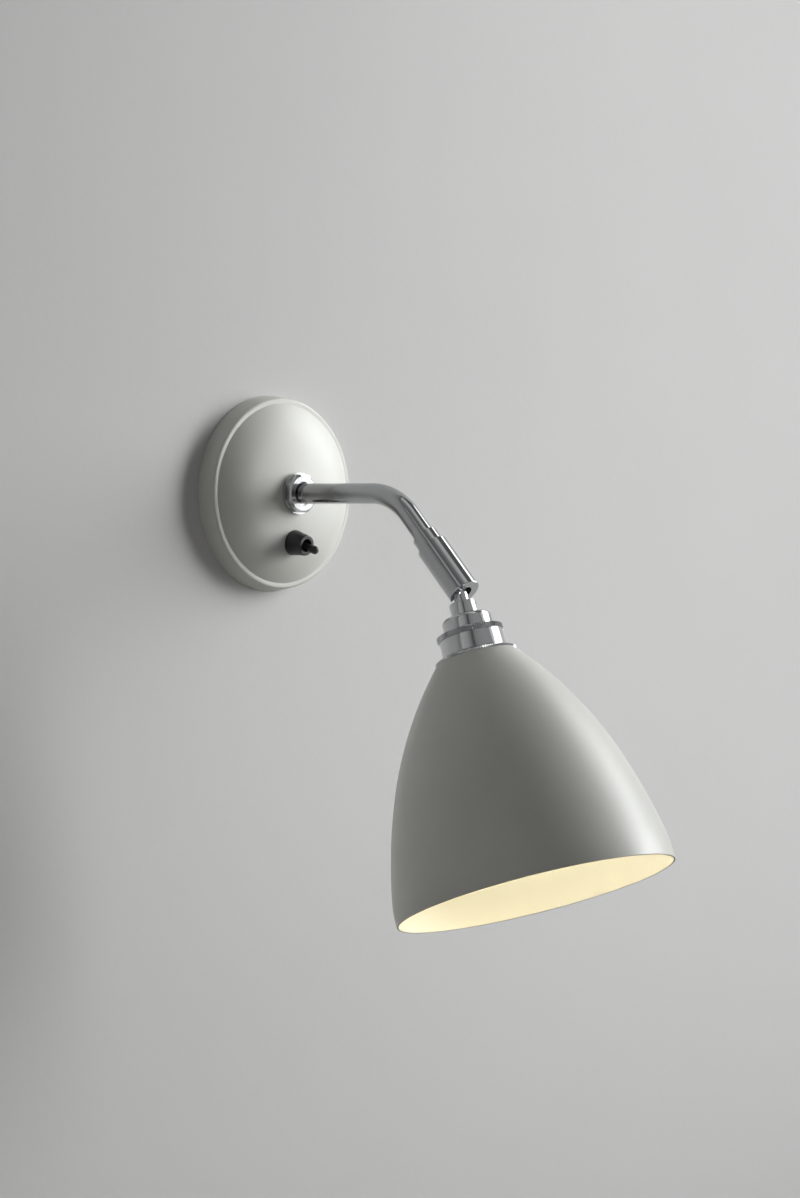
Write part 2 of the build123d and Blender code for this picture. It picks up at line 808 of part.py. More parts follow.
def holder_cap():
    """Cap of the lampholder, rounded at the top, with the entry for the stem."""
    skirt = union_top + cap_seat
    outside = turned((0, cap_top), (cap_r, cap_top), (cap_r, skirt), (0, skirt))
    outside = fillet(faces_at(outside, cap_top).edges(), cap_round)
    inside = rod(cap_r - cap_wall, cap_top + cap_top_wall, skirt + 1)
    return place(outside - inside - rod(stem_thread_r, cap_top - 1, skirt), head_frame)


def nipple_nut():
    """Nut on the stem inside the cap."""
    nut = prism(nipple_nut_flats, cap_top + cap_top_wall, nipple_top)
    return place(nut - rod(stem_thread_r, cap_top, union_top), head_frame)


def union_ring():
    """Knurled ring that screws the cap to the body."""
    disc = knurled(union_r, union_top, body_top)
    bevel = turned(
        (0, union_top),
        (union_r - union_edge, union_top),
        (union_r, union_top + union_edge),
        (union_r, body_top - union_edge),
        (union_r - union_edge, body_top),
        (0, body_top),
    )
    ring_body = disc & bevel
    ring_body -= rod(cap_r, union_top - 1, union_top + cap_seat)
    return place(ring_body - rod(cap_r - cap_wall, union_top, body_top + 1), head_frame)


def holder_body():
    """Body and threaded skirt of the lampholder."""
    outside = turned(
        (0, body_top),
        (body_r, body_top),
        (body_r, shade_nut_top - body_edge),
        (skirt_r, shade_nut_top),
        (skirt_r, skirt_end),
        (0, skirt_end),
    )
    inside = rod(skirt_r - holder_wall, body_top + holder_wall, skirt_end + 1)
    throat = rod(cap_r - cap_wall, body_top - 1, skirt_end)
    return place(outside - inside - throat, head_frame)


def shade_nut():
    """Flared knurled ring above the shade."""
    hub = turned(
        (0, shade_nut_top),
        (shade_nut_hub_r, shade_nut_top),
        (shade_nut_r - knurl_depth, shade_nut_top + shade_nut_hub),
        (shade_nut_r - knurl_depth, shade_top),
        (0, shade_top),
    )
    disc = hub + knurled(shade_nut_r, shade_nut_top + shade_nut_hub, shade_top)
    return place(disc - rod(skirt_r, shade_nut_top - 1, shade_top + 1), head_frame)


def shade_inner_nut():
    """Knurled ring inside the shade."""
    low = shade_top + shade_sheet
    disc = knurled(inner_nut_r, low, low + inner_nut_height)
    return place(disc - rod(skirt_r, low - 1, low + inner_nut_height + 1), head_frame)


def shade_wall(inset):
    """Three tangent arcs from the top of the shade down to its rim.

    They are found from the rim upwards, then drawn in the head's frame. The
    inside of the sheet shares the centres of the outside."""
    angles = [shade_hem_start, shade_hem_end, shade_body_end]
    radii = [shade_hem_r, shade_body_r, shade_shoulder_r]
    centre_r = shade_rim_r - radii[0] * cos(radians(angles[0]))
    centre_h = -radii[0] * sin(radians(angles[0]))
    arcs = []
    for i, radius in enumerate(radii):
        start = radians(angles[i])
        if i:
            centre_r += (radii[i - 1] - radius) * cos(start)
            centre_h += (radii[i - 1] - radius) * sin(start)
        if i + 1 < len(radii):
            end = radians(angles[i + 1])
        else:
            end = acos((shade_top_r - centre_r) / radius)
        arcs.append((centre_r, centre_h, radius - inset, start, end))
    return arcs


def shade_height():
    """Rim to the top of the shade's wall."""
    centre_r, centre_h, radius, start, end = shade_wall(0)[-1]
    return centre_h + radius * sin(end)


def shade_edges(inset):
    """The wall as edges in the head's frame, from rim to top."""
    rim = shade_top + shade_height()
    edges = []
    for centre_r, centre_h, radius, start, end in shade_wall(inset):
        points = []
        for angle in (start, (start + end) / 2, end):
            points.append((centre_r + radius * cos(angle), rim - centre_h - radius * sin(angle)))
        edges.append(ThreePointArc(*points))
    return edges


def shade():
    """Spun shade: thin wall, open rim, flat seat between the two rings."""
    outer = shade_edges(0)
    inner = shade_edges(shade_sheet)
    hole = skirt_r + loose_gap
    seat = shade_top + shade_sheet
    outside_top = outer[-1] @ 1
    inside_top = inner[-1] @ 1
    cut = Wire(
        [
            *outer,
            Line(outside_top, (hole, shade_top)),
            Line((hole, shade_top), (hole, seat)),
            Line((hole, seat), inside_top),
            *inner,
            Line(inner[0] @ 0, outer[0] @ 0),
        ]
    )
    face = Plane.XZ * make_face(cut)
    return place(revolve(face, Axis.Z), head_frame)


# ------------------------------------------------------- lampholder and bulb
def holder_insulator():
    """Porcelain block that carries the contacts, with a rim round the shell."""
    low = body_top + holder_wall
    outer = skirt_r - holder_wall - running_gap
    body = rod(outer, low, low + insulator_base)
    wall = ring(outer, shell_r, low + insulator_base, insulator_end)
    block_shape = body + wall
    block_shape -= rod(head_lead_r + lead_gap, low - 1, low + insulator_base - insulator_floor)
    for side in (-1, 1):
        seat = rod(holder_screw_r, low - 1, low + insulator_base - insulator_floor)
        block_shape -= Pos(side * holder_screw_offset, 0, 0) * seat
    return place(block_shape, head_frame)


def screw_shell():
    """Threaded shell that takes the bulb's cap."""
    low = body_top + holder_wall + insulator_base
    shell = ring(shell_r, shell_r - shell_sheet, low, shell_end)
    base = ring(shell_r, shell_floor_inner_r, low, low + shell_sheet)
    return place(shell + base, head_frame)


def centre_contact():
    """Sprung tongue under the bulb's end contact."""
    low = body_top + holder_wall + insulator_base
    foot_y = contact_bend_y + contact_foot / 2
    foot = Pos(0, foot_y, 0) * block(contact_width, contact_foot, low, low + contact_sheet)
    rise = bulb_contact_top() - low - contact_sheet
    length = hypot(contact_reach, rise)
    slope = degrees(atan(rise / contact_reach))
    strip = Pos(0, -length / 2, contact_sheet / 2) * Box(contact_width, length, contact_sheet)
    tongue = Pos(0, contact_bend_y, low) * (Rot(-slope, 0, 0) * strip)
    return place(foot + tongue, head_frame)


def holder_screws():
    """Two terminal screws in the porcelain."""
    low = body_top + holder_wall + holder_screw_sunk
    high = body_top + holder_wall + insulator_base - insulator_floor
    screws = []
    for side in (-1, 1):
        screw = slotted_screw(holder_screw_r, low, high)
        screws.append(place(Pos(side * holder_screw_offset, 0, 0) * screw, head_frame))
    return group(*screws)


def bulb_cap():
    """Screw cap of the bulb."""
    outer, inner = bulb_cap_r, bulb_cap_r - bulb_cap_sheet
    insulator_r = bulb_contact_r + bulb_insulator_ring
    cone_r = bulb_cap_r - bulb_cap_cone
    cone = bulb_cap_top + bulb_cap_cone
    outline = [
        (insulator_r, bulb_cap_top),
        (cone_r, bulb_cap_top + bulb_cap_sheet),
        (outer, cone),
        (outer, bulb_cap_end),
        (inner, bulb_cap_end),
        (inner, cone + bulb_cap_sheet),
        (cone_r, bulb_cap_top + 2 * bulb_cap_sheet),
        (insulator_r, bulb_cap_top + bulb_cap_sheet),
    ]
    return place(turned(*outline), head_frame)


def bulb_insulator():
    """Glass ring between the cap and the end contact."""
    insulator_r = bulb_contact_r + bulb_insulator_ring
    outline = [
        (0, bulb_insulator_top),
        (bulb_contact_r, bulb_insulator_top),
        (insulator_r, bulb_cap_top),
        (insulator_r, bulb_cap_top + bulb_cap_sheet),
        (0, bulb_cap_top + bulb_cap_sheet),
    ]
    return place(turned(*outline), head_frame)


def bulb_contact_top():
    return bulb_insulator_top - bulb_contact_height


def bulb_contact():
    """End contact of the bulb."""
    outline = [
        (0, bulb_contact_top()),
        (bulb_contact_r - bulb_contact_height, bulb_contact_top()),
        (bulb_contact_r, bulb_insulator_top),
        (0, bulb_insulator_top),
    ]
    return place(turned(*outline), head_frame)


def bulb_glass_shell():
    """Round opal envelope on a short neck that stands in the cap."""
    end = bulb_contact_top() + bulb_length
    centre = end - bulb_r
    solids = []
    for inset in (0, bulb_glass):
        ball = Pos(0, 0, centre) * Sphere(bulb_r - inset)
        neck = rod(bulb_neck_r - inset, bulb_cap_end - bulb_neck_in - inset, centre)
        solids.append(ball + neck)
    return place(solids[0] - solids[1], head_frame)


def head_lead():
    """Leads through the stem into the lampholder."""
    end = body_top + holder_wall + insulator_base - insulator_floor - lead_gap
    return place(rod(head_lead_r, lead_gap, end), head_frame)


# --------------------------------------------------------------------- leads
def at(x, depth, z):
    return (x, -depth, z)


def blade_top(index):
    """Just above the middle of a switch blade, as x, depth and z."""
    back = switch_front() + switch_body_depth + terminal_length / 2
    point = switch_seat - switch_axis * back
    return (switch_terminal_places()[index], -point.Y, point.Z + terminal_sheet / 2 + lead_gap)


def block_way(index):
    """Where a lead stands in the bottom of the block, and just below it."""
    x = block_ways_x()[index]
    top, low = block_bottom + lead_in_block, block_bottom - lead_below_block
    return [at(x, block_wire_depth, top), at(x, block_wire_depth, low)]


def arm_mouth(side):
    """Run along the wall and turn into the back end of the arm."""
    x = side * lead_pair_x
    run = at(x, lead_wall_depth, -side * lead_wall_reach)
    return [run, at(x, lead_wall_depth, 0), at(x, arm_inner_depth - lead_gap, 0)]


def beside_arm():
    """Middle of the gap between the lug's swing and the bracket's riser."""
    lug_r = stop_inner_r + bracket_sheet
    return (lug_r + bracket_bridge_half - bracket_sheet / 2) / 2


def live_lead():
    """Block to switch, down one side of the bush."""
    x, depth, z = blade_top(0)
    side = -beside_arm()
    edge = bracket_width / 2
    points = block_way(0) + [
        at(side, block_wire_depth, edge - lead_edge_gap),
        at(side, block_wire_depth, -edge),
        at(x, depth, z + lead_straight),
        at(x, depth, z),
    ]
    return lead(lead_r, points, lead_bend_r)


def switched_lead():
    """Switch to the arm, between the wall and the collar."""
    x, depth, z = blade_top(1)
    points = [at(x, depth, z), at(x, depth, z + lead_straight)] + arm_mouth(1)
    return lead(lead_r, points, lead_bend_r)


def neutral_lead():
    """Block to the arm, between the wall and the collar's lug."""
    return lead(lead_r, block_way(1) + arm_mouth(-1), lead_bend_r)


def earth_lead():
    """Block to the earth screw on the bridge."""
    x, y = earth_place()
    depth = bridge_back - earth_washer - lead_r - lead_gap
    end = y + earth_washer_r + lead_gap
    points = block_way(2) + [
        at(beside_arm(), block_wire_depth, bracket_width / 2 - lead_edge_gap),
        at(x, depth, end + lead_straight),
        at(x, depth, end),
    ]
    return lead(lead_r, points, lead_bend_r)


NODES = {
    "cover_plate": cover_plate,
    "wall_bracket": wall_bracket,
    "stem_bush": stem_bush,
    "bush_back_nut": bush_back_nut,
    "cover_nut": cover_nut,
    "terminal_block": terminal_block,
    "terminal_barrels": terminal_barrels,
    "terminal_screws": terminal_screws,
    "block_screws": block_screws,
    "earth_screw": earth_screw,
    "live_lead": live_lead,
    "switched_lead": switched_lead,
    "neutral_lead": neutral_lead,
    "earth_lead": earth_lead,
    "switch_body": switch_body,
    "switch_terminals": switch_terminals,
    "switch_bezel": switch_bezel,
    "switch_lever": switch_lever,
    "arm_tube": arm_tube,
    "arm_spring_ring": arm_spring_ring,
    "arm_collar": arm_collar,
    "collar_screw": collar_screw,
    "arm_lead": arm_lead,
    "joint_barrel": joint_barrel,
    "barrel_grub_screw": barrel_grub_screw,
    "ball_cup": ball_cup,
    "dish_springs": dish_springs,
    "ball_stem": ball_stem,
    "neck_collar": neck_collar,
    "nipple_nut": nipple_nut,
    "holder_cap": holder_cap,
    "union_ring": union_ring,
    "holder_body": holder_body,
    "shade_nut": shade_nut,
    "shade_inner_nut": shade_inner_nut,
    "shade": shade,
    "holder_insulator": holder_insulator,
    "screw_shell": screw_shell,
    "centre_contact": centre_contact,
    "holder_screws": holder_screws,
    "bulb_cap": bulb_cap,
    "bulb_insulator": bulb_insulator,
    "bulb_contact": bulb_contact,
    "bulb_glass": bulb_glass_shell,
    "head_lead": head_lead,
}


def main():
    os.makedirs("parts", exist_ok=True)
    for name, make in NODES.items():
        export_step(make(), os.path.join("parts", name + ".step"))


main()
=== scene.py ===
from math import acos, asin, atan2, cos, pi, radians, sin, sqrt, tan

import bmesh
import bpy
from mathutils import Matrix, Vector


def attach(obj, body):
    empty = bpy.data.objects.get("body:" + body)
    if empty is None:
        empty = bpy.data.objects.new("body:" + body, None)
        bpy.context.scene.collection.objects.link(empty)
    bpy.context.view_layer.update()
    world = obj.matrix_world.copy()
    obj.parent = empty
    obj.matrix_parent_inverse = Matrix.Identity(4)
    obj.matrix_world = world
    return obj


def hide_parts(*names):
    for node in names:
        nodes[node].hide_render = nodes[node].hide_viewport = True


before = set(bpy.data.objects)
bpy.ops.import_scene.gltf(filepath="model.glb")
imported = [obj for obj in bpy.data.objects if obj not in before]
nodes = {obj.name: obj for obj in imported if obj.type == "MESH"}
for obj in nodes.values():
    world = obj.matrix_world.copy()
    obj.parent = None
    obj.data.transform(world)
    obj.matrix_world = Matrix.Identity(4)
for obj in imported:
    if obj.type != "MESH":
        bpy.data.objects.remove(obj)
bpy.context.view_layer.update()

MM = 0.001

# ------------------------------------------------------------- sizes, in mm
ARM_DROP = radians(45)  # below level after the bend
ARM_START = 6.5  # wall to the inner end of the tube
ARM_CORNER = 102.7  # wall to where the tube's two straight runs would meet
ARM_BEND = 42.0  # radius of the bend
ARM_R, ARM_BORE_R = 6.0, 4.8
ARM_END_GAP = 24.2  # end of the tube to the centre of the ball
PIVOT_RUN = 69.6  # that corner to the centre of the ball
HEAD_TILT = radians(20.5)  # the shade's axis from straight down
CROWN_R = 190.0  # sphere that the middle of the plate follows
CROWN_DEPTH = 23.8  # wall to the top of that sphere
SWITCH_DROP = 28.8  # middle of the plate down to the switch
STEM_HOLE_R, SWITCH_HOLE_R = 8.2, 5.2

# ------------------------------------------------------------ mesh tolerances
MERGE = 1e-5  # mm, points nearer than this become one
NEAR = 1e-6  # mm, a length this small counts as none
SHARP = 32  # degrees between two faces that makes their edge sharp

pivot = Vector((0, -ARM_CORNER - PIVOT_RUN * cos(ARM_DROP), -PIVOT_RUN * sin(ARM_DROP)))
switch_slope = asin(SWITCH_DROP / CROWN_R)
switch_depth = CROWN_DEPTH - CROWN_R + sqrt(CROWN_R**2 - SWITCH_DROP**2)


def frame_of(origin, drop):
    """Matrix of a frame whose Z points out from the wall and down by an angle."""
    z = Vector((0, -cos(drop), -sin(drop)))
    x = Vector((1, 0, 0))
    y = z.cross(x)
    m = Matrix.Identity(4)
    for i in range(3):
        m[i][0], m[i][1], m[i][2] = x[i], y[i], z[i]
        m[i][3] = origin[i]
    return m


WALL = frame_of((0, 0, 0), 0)
BARREL = frame_of(pivot, ARM_DROP)
HEAD = frame_of(pivot, pi / 2 - HEAD_TILT)
SWITCH = frame_of((0, -switch_depth, -SWITCH_DROP), switch_slope)


# ------------------------------------------------------------------ meshes
def to_object(name, bm, sharp=SHARP):
    """Mesh object in metres from a bmesh in millimetres, smooth with sharp edges."""
    bmesh.ops.remove_doubles(bm, verts=bm.verts, dist=MERGE)
    bmesh.ops.recalc_face_normals(bm, faces=bm.faces)
    mesh = bpy.data.meshes.new(name)
    bm.to_mesh(mesh)
    bm.free()
    mesh.transform(Matrix.Scale(MM, 4))
    for p in mesh.polygons:
        p.use_smooth = True
    mesh.set_sharp_from_angle(angle=radians(sharp))
    obj = bpy.data.objects.new(name, mesh)
    bpy.context.scene.collection.objects.link(obj)
    return obj


def rounded(points, steps=5):
    """Outline from (r, h) or (r, h, fillet radius) corners, fillets as short chords."""
    out = []
    n = len(points)
    for i, p in enumerate(points):
        if len(p) == 2 or p[2] == 0:
            out.append((p[0], p[1]))
            continue
        a, b, c = Vector(points[i - 1][:2]), Vector(p[:2]), Vector(points[(i + 1) % n][:2])
        u, v = (a - b).normalized(), (c - b).normalized()
        half = u.angle(v) / 2
        reach = p[2] / tan(half)
        start, end = b + u * reach, b + v * reach
        centre = b + (u + v).normalized() * (p[2] / sin(half))
        a0 = atan2(*(start - centre).yx)
        a1 = atan2(*(end - centre).yx)
        turn = (a1 - a0 + pi) % (2 * pi) - pi
        for k in range(steps + 1):
            t = a0 + turn * k / steps
            out.append((centre.x + p[2] * cos(t), centre.y + p[2] * sin(t)))
    return out


def arc(centre, radius, start, end, steps):
    """Points of an arc in (r, h)."""
    return [
        (centre[0] + radius * cos(start + (end - start) * k / steps),
         centre[1] + radius * sin(start + (end - start) * k / steps))
        for k in range(steps + 1)
    ]


def lathe(name, place, outline, segments=96, edge=None, sharp=SHARP):
    """Closed outline of (r, h) turned about the frame's Z. edge(angle, r, h) may
    change a point's radius, as a knurl does."""
    bm = bmesh.new()
    rings = []
    for k in range(segments):
        a = 2 * pi * k / segments
        row = []
        for r, h in outline:
            rr = edge(a, r, h) if edge and r > 0 else r
            row.append(bm.verts.new(place @ Vector((rr * cos(a), rr * sin(a), h))))
        rings.append(row)
    for k in range(segments):
        a, b = rings[k], rings[(k + 1) % segments]
        for i in range(len(outline)):
            j = (i + 1) % len(outline)
            if outline[i][0] < NEAR and outline[j][0] < NEAR:
                continue
            corners = []
            for v in (a[i], a[j], b[j], b[i]):
                if all((v.co - w.co).length > NEAR for w in corners):
                    corners.append(v)
            if len(corners) > 2:
                bm.faces.new(corners)
    return to_object(name, bm, sharp)


def helix_edge(pitch, depth, low, high):
    """Radius change for a rounded thread between two heights."""
    def edge(a, r, h):
        if not low < h < high:
            return r
        fade = min(1, (h - low) / pitch, (high - h) / pitch)
        return r + depth * fade * 0.5 * (cos(2 * pi * (h / pitch) - a) - 1)
    return edge


def knurl_edge(count, depth, low, high, from_r):
    """Radius change for a straight knurl on the outer edge."""
    def edge(a, r, h):
        if r < from_r or not low <= h <= high:
            return r
        wave = abs(((a * count / (2 * pi)) % 1) * 2 - 1)
        return r - depth * (1 - wave)
    return edge


def tube(name, path, outer, inner, segments=64):
    """Hollow tube along a path that stays in the plane x = 0."""
    bm = bmesh.new()
    rows = []
    n = len(path)
    for i, p in enumerate(path):
        ahead = path[min(i + 1, n - 1)] - path[max(i - 1, 0)]
        t = ahead.normalized()
        side = Vector((1, 0, 0))
        up = t.cross(side)
        row = []
        for radius in (outer, inner):
            row.append([
                bm.verts.new(p + radius * (cos(2 * pi * k / segments) * side
                                           + sin(2 * pi * k / segments) * up))
                for k in range(segments)
            ])
        rows.append(row)
    for layer in (0, 1):
        for a, b in zip(rows, rows[1:]):
            for k in range(segments):
                m = (k + 1) % segments
                bm.faces.new((a[layer][k], a[layer][m], b[layer][m], b[layer][k]))
    for row in (rows[0], rows[-1]):
        for k in range(segments):
            m = (k + 1) % segments
            bm.faces.new((row[0][k], row[0][m], row[1][m], row[1][k]))
    return to_object(name, bm)


def cut(obj, tool):
    """Take the tool's shape out of the object, for good."""
    mod = obj.modifiers.new("cut", "BOOLEAN")
    mod.operation = "DIFFERENCE"
    mod.solver = "EXACT"
    mod.object = tool
    dg = bpy.context.evaluated_depsgraph_get()
    mesh = bpy.data.meshes.new_from_object(obj.evaluated_get(dg))
    obj.modifiers.clear()
    obj.data = mesh
    mesh.set_sharp_from_angle(angle=radians(SHARP))
    bpy.data.objects.remove(tool)


# ---------------------------------------------------------------- materials
class Nodes:
    """Short names for building a material's node tree."""

    def __init__(self, name):
        self.mat = bpy.data.materials.new(name)
        self.mat.use_nodes = True
        self.tree = self.mat.node_tree
        self.bsdf = self.tree.nodes["Principled BSDF"]
        self.coords = self.new("ShaderNodeTexCoord")

    def new(self, kind, **values):
        node = self.tree.nodes.new(kind)
        for key, value in values.items():
            setattr(node, key, value)
        return node

    def link(self, a, b):
        self.tree.links.new(a, b)

    def math(self, op, a, b=None, clamp=False):
        node = self.new("ShaderNodeMath", operation=op, use_clamp=clamp)
        for socket, value in zip(node.inputs, (a, b)):
            if value is None:
                continue
            if isinstance(value, (int, float)):
                socket.default_value = value
            else:
                self.link(value, socket)
        return node.outputs[0]

    def noise(self, scale, detail=3.0, rough=0.5, stretch=None):
        node = self.new("ShaderNodeTexNoise")
        node.inputs["Scale"].default_value = scale
        node.inputs["Detail"].default_value = detail
        node.inputs["Roughness"].default_value = rough
        source = self.coords.outputs["Object"]
        if stretch:
            mapping = self.new("ShaderNodeMapping")
            mapping.inputs["Scale"].default_value = stretch
            self.link(source, mapping.inputs["Vector"])
            source = mapping.outputs[0]
        self.link(source, node.inputs["Vector"])
        return node.outputs["Fac"]

    def ramp(self, fac, *stops):
        node = self.new("ShaderNodeValToRGB")
        ramp = node.color_ramp
        while len(ramp.elements) < len(stops):
            ramp.elements.new(0.5)
        for element, (at, colour) in zip(ramp.elements, stops):
            element.position = at
            element.color = (*colour, 1)
        self.link(fac, node.inputs[0])
        return node.outputs[0]

    def scale_to(self, fac, low, high):
        node = self.new("ShaderNodeMapRange")
        node.inputs["To Min"].default_value = low
        node.inputs["To Max"].default_value = high
        self.link(fac, node.inputs["Value"])
        return node.outputs[0]

    def mix(self, fac, a, b):
        node = self.new("ShaderNodeMix", data_type="RGBA")
        for socket, value in zip((node.inputs[0], node.inputs[6], node.inputs[7]), (fac, a, b)):
            if isinstance(value, (int, float)):
                socket.default_value = value
            elif isinstance(value, tuple):
                socket.default_value = (*value, 1)
            else:
                self.link(value, socket)
        return node.outputs[2]

    def bump(self, height, strength, distance):
        node = self.new("ShaderNodeBump")
        node.inputs["Strength"].default_value = strength
        node.inputs["Distance"].default_value = distance
        self.link(height, node.inputs["Height"])
        self.link(node.outputs[0], self.bsdf.inputs["Normal"])
        return node

    def set(self, **values):
        for key, value in values.items():
            socket = self.bsdf.inputs[key.replace("_", " ").title().replace("Ior", "IOR")]
            if isinstance(value, (int, float)):
                socket.default_value = value
            elif isinstance(value, tuple):
                socket.default_value = (*value, 1)
            else:
                self.link(value, socket)


def tint(colour, factor):
    return tuple(min(1.0, c * factor) for c in colour)


def metal(name, colour, rough, spread=0.04, grain=None, fine=2500.0):
    """Metal with slight stains, uneven polish and fine polishing lines."""
    n = Nodes(name)
    stain = n.noise(45.0, 4.0, 0.6)
    lines = n.noise(fine, 2.0, 0.5, grain)
    n.set(metallic=1.0)
    n.set(base_color=n.ramp(stain, (0.35, tint(colour, 0.93)), (0.65, colour)))
    low = n.scale_to(stain, rough, rough + spread)
    n.set(roughness=n.math("ADD", low, n.scale_to(lines, -spread / 3, spread / 3)))
    n.bump(lines, 0.04, 0.00004)
    return n.mat


def paint_nodes(name, colour, rough):
    """Satin stoving paint: faint orange peel, slight colour drift."""
    n = Nodes(name)
    peel = n.noise(900.0, 2.0, 0.5)
    drift = n.noise(14.0, 3.0, 0.5)
    shade = n.ramp(drift, (0.3, tint(colour, 0.965)), (0.7, tint(colour, 1.02)))
    n.set(roughness=n.scale_to(n.noise(60.0), rough - 0.03, rough + 0.04))
    n.bump(peel, 0.12, 0.00012)
    return n, shade


def plastic(name, colour, rough, speck=0.10, grain=700.0):
    """Moulded plastic: fine grain in the surface and a little wear."""
    n = Nodes(name)
    fine = n.noise(grain, 3.0, 0.6)
    wear = n.noise(90.0, 4.0, 0.6)
    n.set(base_color=n.ramp(wear, (0.35, tint(colour, 1 - speck)), (0.7, tint(colour, 1 + speck))))
    n.set(roughness=n.scale_to(wear, rough - 0.05, rough + 0.08))
    n.bump(fine, 0.10, 0.00006)
    return n.mat


PUTTY = (0.545, 0.543, 0.502)
plate_nodes, plate_colour = paint_nodes("plate_paint", PUTTY, 0.46)
plate_nodes.set(base_color=plate_colour)
plate_paint = plate_nodes.mat


def shade_paint_material():
    """Putty paint outside, white paint inside, dark brown on the faces of the rim's edge."""
    n, putty = paint_nodes("shade_paint", PUTTY, 0.40)
    # The axis of the shade in the object's own coordinates, at rest.
    axis = HEAD.col[2].xyz
    origin = pivot * MM

    def dot_with(vector, fixed):
        node = n.new("ShaderNodeVectorMath", operation="DOT_PRODUCT")
        n.link(vector, node.inputs[0])
        node.inputs[1].default_value = fixed
        return node.outputs["Value"]

    offset = n.new("ShaderNodeVectorMath", operation="SUBTRACT")
    n.link(n.coords.outputs["Object"], offset.inputs[0])
    offset.inputs[1].default_value = origin
    along = dot_with(offset.outputs[0], axis)
    scaled = n.new("ShaderNodeVectorMath", operation="SCALE")
    scaled.inputs[0].default_value = axis
    n.link(along, scaled.inputs["Scale"])
    radial = n.new("ShaderNodeVectorMath", operation="SUBTRACT")
    n.link(offset.outputs[0], radial.inputs[0])
    n.link(scaled.outputs[0], radial.inputs[1])
    facing = n.new("ShaderNodeVectorMath", operation="DOT_PRODUCT")
    n.link(radial.outputs[0], facing.inputs[0])
    n.link(n.coords.outputs["Normal"], facing.inputs[1])
    inside = n.math("LESS_THAN", facing.outputs["Value"], 0.0)
    rim_facing, rim_from = 0.72, 0.17  # cosine to the axis; metres along it from the ball
    rim = n.math("GREATER_THAN", dot_with(n.coords.outputs["Normal"], axis), rim_facing)
    rim = n.math("MULTIPLY", rim, n.math("GREATER_THAN", along, rim_from))
    white = n.ramp(n.noise(20.0), (0.3, (0.84, 0.81, 0.73)), (0.7, (0.88, 0.85, 0.77)))
    colour = n.mix(inside, putty, white)
    n.set(base_color=n.mix(rim, colour, (0.20, 0.16, 0.11)))
    return n.mat


shade_paint = shade_paint_material()
chrome = metal("chrome", (0.60, 0.605, 0.615), 0.09, 0.05)
# painted shade: the arm's and barrel's chrome is a darker copy of the chrome colour, so they
# render darker than real chrome
chrome_tube_painted_darker = metal("chrome_tube_painted_darker", (0.455, 0.46, 0.468), 0.09, 0.04, (1.0, 12.0, 12.0))
chrome_turned = metal("chrome_turned", (0.60, 0.605, 0.615), 0.13, 0.05, (1.0, 1.0, 30.0))
chrome_knurl = metal("chrome_knurl", (0.60, 0.606, 0.616), 0.20, 0.05)
zinc = metal("zinc", (0.62, 0.63, 0.64), 0.38, 0.10)
spring = metal("spring_steel", (0.42, 0.41, 0.40), 0.30, 0.08)
black_steel = metal("black_steel", (0.045, 0.045, 0.05), 0.42, 0.08)
brass = metal("brass", (0.78, 0.60, 0.30), 0.28, 0.08)
cap_metal = metal("bulb_cap_metal", (0.76, 0.76, 0.75), 0.26, 0.08)
black_plastic = plastic("black_plastic", (0.016, 0.016, 0.017), 0.34, 0.15)
lever_plastic = plastic("lever_plastic", (0.020, 0.020, 0.021), 0.28, 0.15)
block_plastic = plastic("block_plastic", (0.78, 0.77, 0.72), 0.45, 0.03)
live_pvc = plastic("live_pvc", (0.20, 0.075, 0.035), 0.40, 0.05)
neutral_pvc = plastic("neutral_pvc", (0.03, 0.10, 0.42), 0.40, 0.05)
earth_pvc = plastic("earth_pvc", (0.16, 0.36, 0.05), 0.40, 0.05)
sheath_pvc = plastic("sheath_pvc", (0.62, 0.62, 0.60), 0.45, 0.03)
porcelain = plastic("porcelain", (0.80, 0.78, 0.72), 0.16, 0.03, 300.0)
black_glass = plastic("black_glass", (0.012, 0.012, 0.014), 0.08, 0.2, 300.0)


BULB_GLOW = 9.9


def opal_glass_material():
    """Opal glass that glows: the lamp is on."""
    n = Nodes("opal_glass")
    cloud = n.noise(60.0)
    n.set(base_color=n.ramp(cloud, (0.3, (0.90, 0.87, 0.80)), (0.7, (0.94, 0.91, 0.84))))
    n.set(emission_color=n.ramp(cloud, (0.3, (1.0, 0.93, 0.70)), (0.7, (1.0, 0.96, 0.74))))
    n.set(emission_strength=BULB_GLOW, roughness=0.22)
    return n.mat


opal_glass = opal_glass_material()


def dress(obj, material):
    obj.data.materials.clear()
    obj.data.materials.append(material)


def put(obj, body, material, slot, *replaced):
    """Finish a piece: its look, its body and the nodes it stands for. The slot argument is not
    used.
    """
    dress(obj, material)
    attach(obj, body)
    if replaced:
        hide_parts(*replaced)
    return obj


